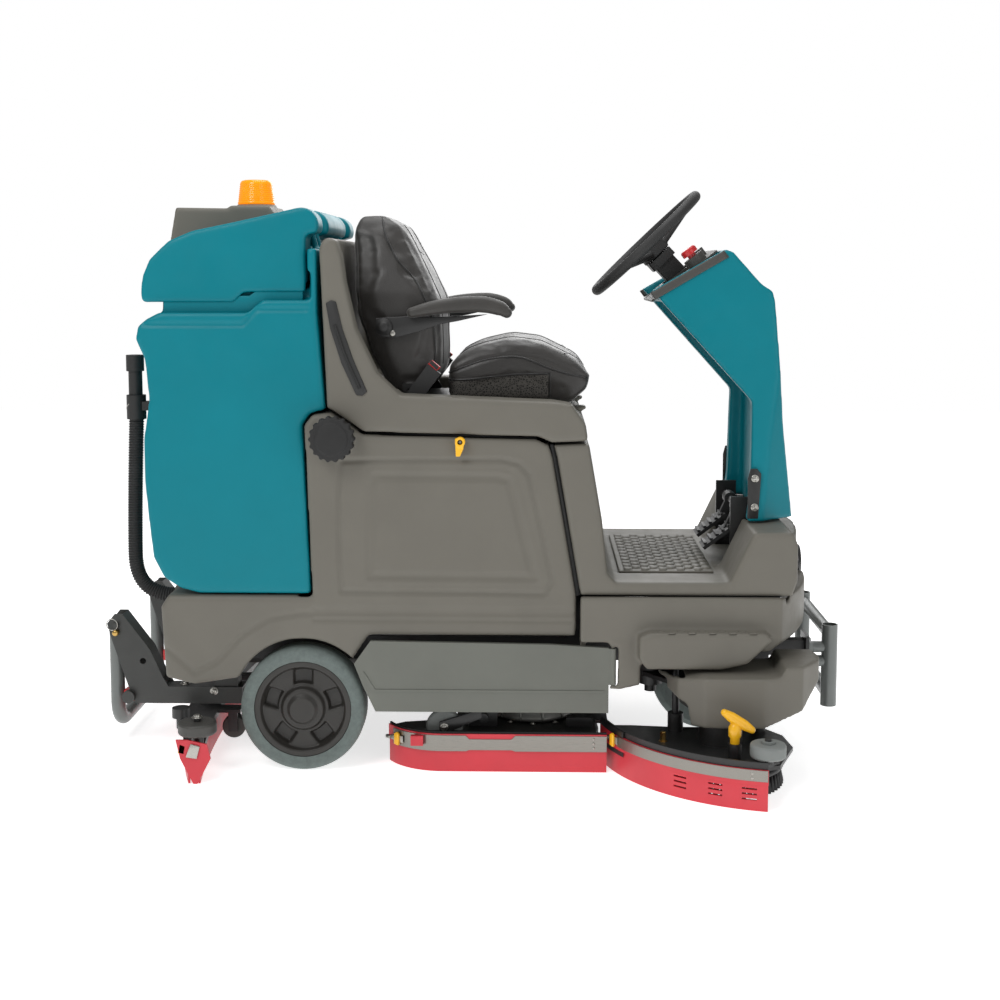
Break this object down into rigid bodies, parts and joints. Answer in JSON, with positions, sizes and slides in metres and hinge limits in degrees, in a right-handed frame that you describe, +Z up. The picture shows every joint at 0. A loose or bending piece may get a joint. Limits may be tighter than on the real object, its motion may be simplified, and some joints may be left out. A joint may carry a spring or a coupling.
{
  "type": "ride-on floor scrubber",
  "caption": "Ride-on floor scrubber with rear recovery tank, seat over a battery box, steering column, disc scrub head, side brush and rear squeegee.",
  "frame": {"origin": "on the floor, under the centre of the bounding box", "axes": "+X forward in the driving direction, +Y to the driver's left, +Z up"},
  "size_m": [1.847, 1.1452, 1.444],
  "materials": {
    "frame_paint": "semi-gloss powder coat",
    "grey_shell": "rotomoulded, fine texture",
    "teal_shell": "satin rotomoulded",
    "dark_plastic": "moulded",
    "yellow_plastic": "moulded",
    "black_rubber": "moulded rubber",
    "tyre": "grey non-marking",
    "hub": "painted",
    "grip": "soft-touch",
    "horn": "gloss",
    "red_plastic": "gloss",
    "pedal": "powder coat with rubber treads",
    "seat_metal": "powder coat",
    "vinyl": "grained vinyl",
    "pad": "self-skinned foam",
    "buckle": "moulded, red push button",
    "amber": "amber polycarbonate",
    "lamp": "clear lens in dark bezel",
    "skirt_paint": "textured powder coat",
    "bumper_paint": "satin powder coat",
    "deck_paint": "powder coat",
    "bristle": "nylon bristle",
    "blade": "red polyurethane",
    "wheel_plastic": "grey roller"
  },
  "bodies": {
    "chassis": {"main_frame": "frame_paint", "lower_body": "grey_shell", "front_body": "grey_shell", "front_fender": "grey_shell", "recovery_tank": "teal_shell", "column_cover": "teal_shell", "instrument_panel": "dark_plastic", "batteries": "dark_plastic", "drain_hose": "black_rubber", "hose_fittings": "dark_plastic", "front_bumper": "bumper_paint", "tail_brackets": "frame_paint", "headlight": "lamp", "platform_mat": "black_rubber"},
    "fork": {"drive_fork": "hub"},
    "front_wheel": {"front_hub": "hub", "front_tyre": "tyre"},
    "rear_wheel_right": {"rear_hub_right": "hub", "rear_tyre_right": "tyre"},
    "rear_wheel_left": {"rear_hub_left": "hub", "rear_tyre_left": "tyre"},
    "yoke": {"tilt_yoke": "dark_plastic"},
    "hand_wheel": {"steering_wheel": "grip"},
    "horn": {"horn_button": "horn"},
    "stop": {"stop_button": "red_plastic"},
    "accelerator": {"accelerator_pedal": "pedal"},
    "brake": {"brake_pedal": "pedal"},
    "deck": {"seat_deck": "grey_shell"},
    "latch": {"deck_latch": "yellow_plastic"},
    "seat": {"seat_pan": "seat_metal", "seat_cushion": "vinyl", "belt_buckles": "buckle"},
    "back": {"seat_back": "vinyl"},
    "arm_right": {"armrest_right": "pad"},
    "arm_left": {"armrest_left": "pad"},
    "lid": {"tank_lid": "teal_shell", "fan_housing": "grey_shell", "beacon_lens": "amber"},
    "cap": {"fill_cap": "black_rubber"},
    "door_right": {"skirt_door_right": "skirt_paint"},
    "door_left": {"skirt_door_left": "skirt_paint"},
    "head": {"scrub_deck": "deck_paint", "side_squeegees": "blade"},
    "brush_body_right": {"brush_right": "bristle"},
    "brush_body_left": {"brush_left": "bristle"},
    "swing_arm": {"side_arm": "frame_paint", "side_cover": "grey_shell"},
    "side_head": {"side_deck": "deck_paint", "side_squeegee": "blade"},
    "side_brush_body": {"side_brush": "bristle"},
    "side_roller_body": {"side_roller": "wheel_plastic"},
    "side_knob_body": {"side_knob": "dark_plastic"},
    "lift_arm": {"squeegee_arm": "frame_paint"},
    "squeegee": {"squeegee_frame": "deck_paint", "squeegee_blades": "blade"},
    "caster_body_right": {"caster_right": "wheel_plastic"},
    "caster_body_left": {"caster_left": "wheel_plastic"},
    "roller_body_right": {"roller_right": "wheel_plastic"},
    "roller_body_left": {"roller_left": "wheel_plastic"},
    "guard": {"rear_guard": "bumper_paint"}
  },
  "joints": [
    {"name": "front_wheel_steer", "type": "hinge", "parent": "chassis", "child": "fork", "pos_m": [0.6175, 0.0765, 0.33], "axis": [0, 0, 1], "range_deg": [-80, 80]},
    {"name": "front_wheel_spin", "type": "hinge", "parent": "fork", "child": "front_wheel", "pos_m": [0.6175, 0.0765, 0.15], "axis": [0, 1, 0], "continuous": true},
    {"name": "rear_wheel_spin_right", "type": "hinge", "parent": "chassis", "child": "rear_wheel_right", "pos_m": [-0.4025, -0.2755, 0.152], "axis": [0, 1, 0], "continuous": true},
    {"name": "rear_wheel_spin_left", "type": "hinge", "parent": "chassis", "child": "rear_wheel_left", "pos_m": [-0.4025, 0.4285, 0.152], "axis": [0, 1, 0], "continuous": true},
    {"name": "steering_tilt", "type": "hinge", "parent": "chassis", "child": "yoke", "pos_m": [0.5345, 0.0765, 1.186], "axis": [0, 1, 0], "range_deg": [-6, 8]},
    {"name": "steering_turn", "type": "hinge", "parent": "yoke", "child": "hand_wheel", "pos_m": [0.4445, 0.0765, 1.28], "axis": [-0.6934, 0, 0.7206], "range_deg": [-400, 400]},
    {"name": "horn_press", "type": "slide", "parent": "hand_wheel", "child": "horn", "axis": [0.6934, 0, -0.7206], "range_m": [0, 0.003], "stiffness_N_per_m": 900, "springref_m": -0.002},
    {"name": "stop_press", "type": "slide", "parent": "chassis", "child": "stop", "axis": [0.6143, 0, -0.7891], "range_m": [0, 0.005], "stiffness_N_per_m": 1500, "springref_m": -0.003},
    {"name": "accelerator_press", "type": "hinge", "parent": "chassis", "child": "accelerator", "pos_m": [0.6795, -0.0115, 0.606], "axis": [0, -1, 0], "range_deg": [0, 15], "stiffness_Nm_per_rad": 8, "springref_deg": -22.92},
    {"name": "brake_press", "type": "hinge", "parent": "chassis", "child": "brake", "pos_m": [0.6795, 0.1385, 0.606], "axis": [0, -1, 0], "range_deg": [0, 15], "stiffness_Nm_per_rad": 12, "springref_deg": -22.92},
    {"name": "seat_deck_open", "type": "hinge", "parent": "chassis", "child": "deck", "pos_m": [-0.0025, 0.4695, 0.836], "axis": [-1, 0, 0], "range_deg": [0, 60]},
    {"name": "deck_latch_turn", "type": "hinge", "parent": "chassis", "child": "latch", "pos_m": [-0.0185, -0.3245, 0.806], "axis": [0, 1, 0], "range_deg": [0, 80]},
    {"name": "seat_slide", "type": "slide", "parent": "deck", "child": "seat", "axis": [1, 0, 0], "range_m": [0, 0.1]},
    {"name": "back_fold", "type": "hinge", "parent": "seat", "child": "back", "pos_m": [-0.1475, 0.0765, 0.915], "axis": [0, 1, 0], "range_deg": [0, 9]},
    {"name": "armrest_lift_right", "type": "hinge", "parent": "back", "child": "arm_right", "pos_m": [-0.2105, -0.1935, 1.073], "axis": [0, -1, 0], "range_deg": [0, 85]},
    {"name": "armrest_lift_left", "type": "hinge", "parent": "back", "child": "arm_left", "pos_m": [-0.2105, 0.3465, 1.073], "axis": [0, -1, 0], "range_deg": [0, 85]},
    {"name": "tank_lid_open", "type": "hinge", "parent": "chassis", "child": "lid", "pos_m": [-0.3985, 0.0765, 1.316], "axis": [0, 1, 0], "range_deg": [0, 60]},
    {"name": "fill_cap_pull", "type": "slide", "parent": "chassis", "child": "cap", "axis": [0, -1, 0], "range_m": [0, 0.06]},
    {"name": "skirt_door_open_right", "type": "hinge", "parent": "chassis", "child": "door_right", "pos_m": [0.3475, -0.3175, 0.26], "axis": [0, 0, 1], "range_deg": [0, 90]},
    {"name": "skirt_door_open_left", "type": "hinge", "parent": "chassis", "child": "door_left", "pos_m": [0.3475, 0.4705, 0.26], "axis": [0, 0, -1], "range_deg": [0, 90]},
    {"name": "scrub_head_lift", "type": "slide", "parent": "chassis", "child": "head", "axis": [0, 0, 1], "range_m": [0, 0.055]},
    {"name": "brush_spin_right", "type": "hinge", "parent": "head", "child": "brush_body_right", "pos_m": [0.1545, -0.1075, 0.06], "axis": [0, 0, 1], "continuous": true},
    {"name": "brush_spin_left", "type": "hinge", "parent": "head", "child": "brush_body_left", "pos_m": [0.1545, 0.2605, 0.06], "axis": [0, 0, 1], "continuous": true},
    {"name": "side_brush_swing", "type": "hinge", "parent": "chassis", "child": "swing_arm", "pos_m": [0.4475, -0.1855, 0.215], "axis": [0, 0, 1], "range_deg": [0, 10]},
    {"name": "side_brush_lift", "type": "slide", "parent": "swing_arm", "child": "side_head", "axis": [0, 0, 1], "range_m": [0, 0.045]},
    {"name": "side_brush_spin", "type": "hinge", "parent": "side_head", "child": "side_brush_body", "pos_m": [0.6025, -0.3485, 0.06], "axis": [0, 0, 1], "continuous": true},
    {"name": "side_roller_spin", "type": "hinge", "parent": "side_head", "child": "side_roller_body", "pos_m": [0.6885, -0.5235, 0.128], "axis": [0, 0, 1], "continuous": true},
    {"name": "side_knob_turn", "type": "hinge", "parent": "side_head", "child": "side_knob_body", "pos_m": [0.6195, -0.4755, 0.14], "axis": [0, 0, 1], "range_deg": [-180, 180]},
    {"name": "squeegee_lift", "type": "hinge", "parent": "chassis", "child": "lift_arm", "pos_m": [-0.4985, 0.0765, 0.196], "axis": [0, 1, 0], "range_deg": [0, 8]},
    {"name": "squeegee_swivel", "type": "hinge", "parent": "lift_arm", "child": "squeegee", "pos_m": [-0.7025, 0.0765, 0.08], "axis": [0, 0, 1], "range_deg": [-8, 8]},
    {"name": "caster_spin_right", "type": "hinge", "parent": "squeegee", "child": "caster_body_right", "pos_m": [-0.6225, -0.0515, 0.03], "axis": [0, 1, 0], "continuous": true},
    {"name": "roller_spin_right", "type": "hinge", "parent": "squeegee", "child": "roller_body_right", "pos_m": [-0.6455, -0.3735, 0.125], "axis": [0, 0, 1], "continuous": true},
    {"name": "caster_spin_left", "type": "hinge", "parent": "squeegee", "child": "caster_body_left", "pos_m": [-0.6225, 0.2045, 0.03], "axis": [0, 1, 0], "continuous": true},
    {"name": "roller_spin_left", "type": "hinge", "parent": "squeegee", "child": "roller_body_left", "pos_m": [-0.6455, 0.5265, 0.125], "axis": [0, 0, 1], "continuous": true},
    {"name": "rear_guard_raise", "type": "hinge", "parent": "chassis", "child": "guard", "pos_m": [-0.9055, 0.0765, 0.296], "axis": [0, 1, 0], "range_deg": [0, 100]}
  ],
  "couplings": [
    {"joint": "steering_turn", "follows": "front_wheel_steer", "ratio": 5}
  ]
}
